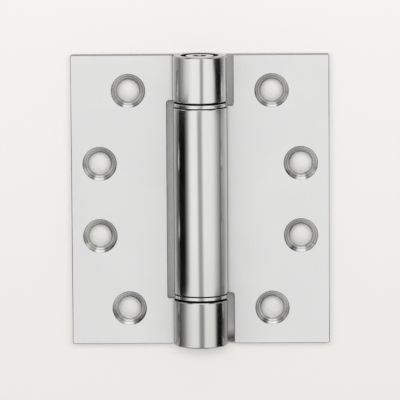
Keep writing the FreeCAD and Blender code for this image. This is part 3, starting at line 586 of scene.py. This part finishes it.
def clear_paper(tree, axis, side, between_ends, mirrored):
    """1 where the paper is clear: on its back, and for reflections far from the hinge and right behind it."""
    behind = add(tree, "NewGeometry").outputs["Backfacing"]
    far = add(tree, "Math", {0: side, 1: 52.0}, operation="GREATER_THAN").outputs[0]
    below = add(tree, "Math", {0: axis["Z"], 1: -56.0}, operation="LESS_THAN").outputs[0]
    outside = add(tree, "Math", {0: far, 1: below}, operation="MAXIMUM").outputs[0]
    behind_barrel = add(tree, "Math", {0: side, 1: 8.6}, operation="LESS_THAN").outputs[0]
    behind_leaf = add(tree, "Math", {0: side, 1: 29.5, 2: 13.5}, operation="COMPARE").outputs[0]
    covered = add(tree, "Math", {0: behind_barrel, 1: behind_leaf}, operation="MAXIMUM").outputs[0]
    hidden = add(tree, "Math", {0: covered, 1: between_ends}, operation="MULTIPLY").outputs[0]
    left_out = add(tree, "Math", {0: outside, 1: hidden}, operation="MAXIMUM").outputs[0]
    unseen = add(tree, "Math", {0: left_out, 1: mirrored}, operation="MULTIPLY").outputs[0]
    return add(tree, "Math", {0: behind, 1: unseen}, operation="MAXIMUM").outputs[0]


def make_paper():
    """Matt paper that shows pale to the camera and takes the hinge's soft shadow.

    Open paper glows a little, which keeps the hinge's shadow on it light. Behind the hinge it glows less,
    and in narrow gaps it is painted greyer as shade. Its back is clear, so that a view from behind is open.
    Reflections see only the parts of it round the hinge and in the gaps, so that the hinge's back mirrors the
    room.
    """
    material, tree = new_material("matt_backdrop_paper")
    material.cycles.emission_sampling = "NONE"
    axis = place_in_mm(tree)[1]
    side = add(tree, "Math", {0: axis["X"]}, operation="ABSOLUTE").outputs[0]
    level = add(tree, "Math", {0: axis["Z"]}, operation="ABSOLUTE").outputs[0]
    between_ends = add(tree, "Math", {0: level, 1: LEAF_END}, operation="LESS_THAN").outputs[0]
    mirrored = add(tree, "LightPath").outputs["Is Glossy Ray"]
    colour = shade_paper(tree, axis, side, between_ends, mirrored)

    # Beyond the hinge's outline it gives off its full glow
    across = add(
        tree, "MapRange",
        {"Value": side, "From Min": 43.5, "From Max": 44.5, "To Min": COVERED_GLOW, "To Max": GLOW},
    ).outputs[0]
    along = add(
        tree, "MapRange",
        {"Value": level, "From Min": 49.6, "From Max": 51.0, "To Min": COVERED_GLOW, "To Max": GLOW},
    ).outputs[0]
    glow_share = add(tree, "Math", {0: across, 1: along}, operation="MAXIMUM").outputs[0]
    matt = add(tree, "BsdfDiffuse", {"Color": colour}).outputs[0]
    glow = add(tree, "Emission", {"Color": colour, "Strength": 1.0}).outputs[0]
    paper = add(tree, "MixShader", {0: glow_share, 1: matt, 2: glow}).outputs[0]
    clear = add(tree, "BsdfTransparent").outputs[0]
    clear_share = clear_paper(tree, axis, side, between_ends, mirrored)
    shader = add(tree, "MixShader", {0: clear_share, 1: paper, 2: clear}).outputs[0]
    add(tree, "OutputMaterial", {"Surface": shader})
    return material


backdrop = make_backdrop()
backdrop.data.materials.append(make_paper())
backdrop.visible_diffuse = False
backdrop.visible_shadow = False


# Cards round the barrel, which only reflections see
def make_card(name, material, first, across, rise, cover):
    """A flat card: first corner plus a share of one edge, across, plus a share of the other, rise.

    cover is an array over the card, from 0, clear, to 1, full, by share across and share up.
    """
    rows, columns = cover.shape
    share_across = np.linspace(0.0, 1.0, columns)[None, :, None]
    share_up = np.linspace(0.0, 1.0, rows)[:, None, None]
    points = np.array(first) + np.array(across) * share_across + np.array(rise) * share_up
    mesh = grid_mesh(name, points * MM)
    mesh.attributes.new("cover", "FLOAT", "POINT").data.foreach_set("value", cover.ravel())
    mesh.materials.append(material)
    card = new_object(name, mesh)
    card.visible_camera = False
    card.visible_diffuse = False
    card.visible_transmission = False
    card.visible_shadow = False


def make_cards():
    """Black cards left and right of the barrel, and a thin grey one in front of it, with soft edges."""
    # Matt black card that thins out to clear: the eye sees it only as soft dark bands in the polish
    material, tree = new_material("matt_black_card")
    cover = add(tree, "Attribute", attribute_name="cover").outputs["Fac"]
    black = add(tree, "BsdfDiffuse", {"Color": linear("#171717")}).outputs[0]
    clear = add(tree, "BsdfTransparent").outputs[0]
    shader = add(tree, "MixShader", {0: cover, 1: clear, 2: black}).outputs[0]
    add(tree, "OutputMaterial", {"Surface": shader})

    # The side cards stand upright, and thicken from their front edges to their back ones
    distance = 75.0
    left_front = -87.0
    right_front = -66.0
    back = 9.0
    share = np.linspace(0.0, 1.0, 42)
    left_y = left_front + (back - left_front) * share
    right_y = right_front + (back - right_front) * share

    # The left card darkens the centre knuckle, and a thinner one lower down greys the bottom knuckle's left
    fade = np.interp(left_y, (-85.0, -74.0, -54.5, -39.0, -31.0), (0.0, 0.15, 0.57, 0.88, 1.0))
    thin_fade = np.interp(left_y, (-58.0, -40.0, -15.0), (0.0, 0.16, 0.38))

    # The right cards darken the end knuckles, the upper one wider near its top
    top_low = 23.6
    top_high = 46.0
    stops = (-54.0, -44.0, -36.0, -28.0, -20.0)
    covers = (0.0, 0.15, 0.44, 0.88, 1.0)
    plain = np.interp(right_y, stops, covers)
    height = np.linspace(top_low, top_high, 40)
    flare = np.interp(height, (35.0, 41.0), (0.0, 14.0))
    flared = np.interp(right_y[None, :] + flare[:, None], stops, covers)

    side_cards = (
        ("card_left", -distance, left_front, -44.5, 26.5, np.tile(fade, (2, 1))),
        ("card_left_bottom", -distance, left_front, -68.0, -45.0, np.tile(thin_fade, (2, 1))),
        ("card_right_top", distance, right_front, top_low, top_high, flared),
        ("card_right_bottom", distance, right_front, -66.0, -43.5, np.tile(plain, (2, 1))),
    )
    for name, x, front, low, high, side_cover in side_cards:
        depth = (0.0, back - front, 0.0)
        make_card(name, material, (x, front, low), depth, (0.0, 0.0, high - low), side_cover)

    # The front card is the grey line down the barrel's middle, a little to the right on the end knuckles
    half_width = 12.0
    low = -60.0
    high = 52.0
    x = half_width * np.linspace(-1.0, 1.0, 61)
    z = np.linspace(low, high, 141)
    levels = (-38.0, -36.4, 28.8, 30.4)
    middle = np.interp(z, levels, (2.4, 1.0, -0.9, 4.6))[:, None]
    width = np.interp(z, levels, (1.15, 1.0, 1.0, 0.75))[:, None]
    strength = np.interp(z, levels, (0.64, 0.58, 0.58, 0.58))[:, None]
    line = strength * np.interp(np.abs(x[None, :] - middle) / width, (2.6, 5.3, 7.8), (1.0, 0.5, 0.0))
    first = (-half_width, -35.0, low)
    make_card("card_front", material, first, (2 * half_width, 0.0, 0.0), (0.0, 0.0, high - low), line)


make_cards()


# Studio: pale panels to the left and right of the camera, grey sides, and a strip overhead
def make_studio():
    """Room light by direction: the turn from the camera's side gives the panels, height the strip above."""
    world = bpy.data.worlds.new("studio")
    scene.world = world
    world.use_nodes = True
    tree = world.node_tree
    tree.nodes.clear()
    towards = add(tree, "TexCoord").outputs["Generated"]
    axis = add(tree, "SeparateXYZ", {0: towards}).outputs
    forward = add(tree, "Math", {0: axis["Y"], 1: -1.0}, operation="MULTIPLY").outputs[0]
    azimuth = add(tree, "Math", {0: axis["X"], 1: forward}, operation="ARCTAN2").outputs[0]
    share = add(
        tree, "MapRange", {"Value": azimuth, "From Min": -math.pi, "From Max": math.pi}
    ).outputs[0]
    panels = add(tree, "ValToRGB", {"Fac": share})
    # Degrees to the right of the camera's side, and the linear grey there
    stops = (
        (-180, 0.8), (-140, 0.65), (-120, 0.3), (-105, 0.22), (-87, 0.30), (-75, 0.46), (-65, 0.68),
        (-55, 0.80), (-45, 0.92), (-33, 1.03), (0, 1.0), (40, 0.98), (53, 0.94), (63, 0.84),
        (73, 0.63), (84, 0.42), (97, 0.22), (110, 0.3), (127, 0.5), (140, 0.65), (180, 0.8),
    )
    set_stops(panels, [((degrees + 180) / 360.0, grey) for degrees, grey in stops])
    height = add(
        tree, "MapRange",
        {"Value": axis["Z"], "From Min": -0.6, "From Max": 0.05, "To Min": 0.62, "To Max": 1.14},
    ).outputs[0]
    lit_walls = add(tree, "Math", {0: panels.outputs[0], 1: height}, operation="MULTIPLY").outputs[0]
    floor = add(
        tree, "MapRange",
        {"Value": axis["Z"], "From Min": -0.98, "From Max": -0.9, "To Min": 0.3, "To Max": 1.0},
    ).outputs[0]
    walls = add(tree, "Math", {0: lit_walls, 1: floor}, operation="MULTIPLY").outputs[0]
    side = add(tree, "Math", {0: axis["X"]}, operation="ABSOLUTE").outputs[0]
    strip = add(
        tree, "MapRange", {"Value": side, "From Min": 0.3, "From Max": 0.37, "To Min": 1.05, "To Max": 0.2}
    ).outputs[0]
    above = add(tree, "MapRange", {"Value": axis["Z"], "From Min": 0.6, "From Max": 0.72}).outputs[0]
    room = add(tree, "Mix", {0: above, 2: walls, 3: strip}, data_type="FLOAT").outputs[0]

    # Metal mirrors the room, matt surfaces are lit by an even grey, and the camera sees pale paper
    studio = add(tree, "Background", {"Color": room}).outputs[0]
    pale = add(tree, "Background", {"Color": linear(PAPER_MIDDLE)}).outputs[0]
    soft = add(tree, "Background", {"Color": (0.3, 0.3, 0.3, 1.0)}).outputs[0]
    ray = add(tree, "LightPath").outputs
    lighting = add(tree, "MixShader", {0: ray["Diffuse Depth"], 1: studio, 2: soft}).outputs[0]
    shader = add(tree, "MixShader", {0: ray["Is Camera Ray"], 1: lighting, 2: pale}).outputs[0]
    add(tree, "OutputWorld", {"Surface": shader})


make_studio()

# A soft lamp above the camera casts the hinge's shadow on the paper, and isn't mirrored in the metal
lamp_data = bpy.data.lights.new("soft_lamp", "AREA")
lamp_data.shape = "ELLIPSE"
lamp_data.size = 0.6
lamp_data.size_y = 0.3
lamp_data.energy = 7.1
lamp = new_object("soft_lamp", lamp_data)
lamp.location = (0.0, -0.95, 0.2)
lamp.rotation_euler = (-lamp.location).to_track_quat("-Z", "Y").to_euler()
lamp.visible_glossy = False


# Camera
def make_camera():
    """A long lens at the photograph's angle, rolled a little about its own line of sight."""
    across = math.cos(CAMERA_ELEVATION)
    back = Vector(
        (math.sin(CAMERA_AZIMUTH) * across, -math.cos(CAMERA_AZIMUTH) * across, math.sin(CAMERA_ELEVATION))
    )
    level = Vector((math.cos(CAMERA_AZIMUTH), math.sin(CAMERA_AZIMUTH), 0.0))
    upright = back.cross(level)
    right = level * math.cos(CAMERA_ROLL) - upright * math.sin(CAMERA_ROLL)
    up = level * math.sin(CAMERA_ROLL) + upright * math.cos(CAMERA_ROLL)
    data = bpy.data.cameras.new("camera")
    data.sensor_width = SENSOR_WIDTH
    data.lens = CAMERA_LENS
    data.shift_x = SHIFT_X
    data.shift_y = SHIFT_Y
    camera = new_object("camera", data)
    aim = Matrix((right, up, back)).transposed().to_4x4()
    camera.matrix_world = Matrix.Translation(back * CAMERA_DISTANCE) @ aim
    scene.camera = camera


make_camera()
scene.view_settings.view_transform = "Standard"
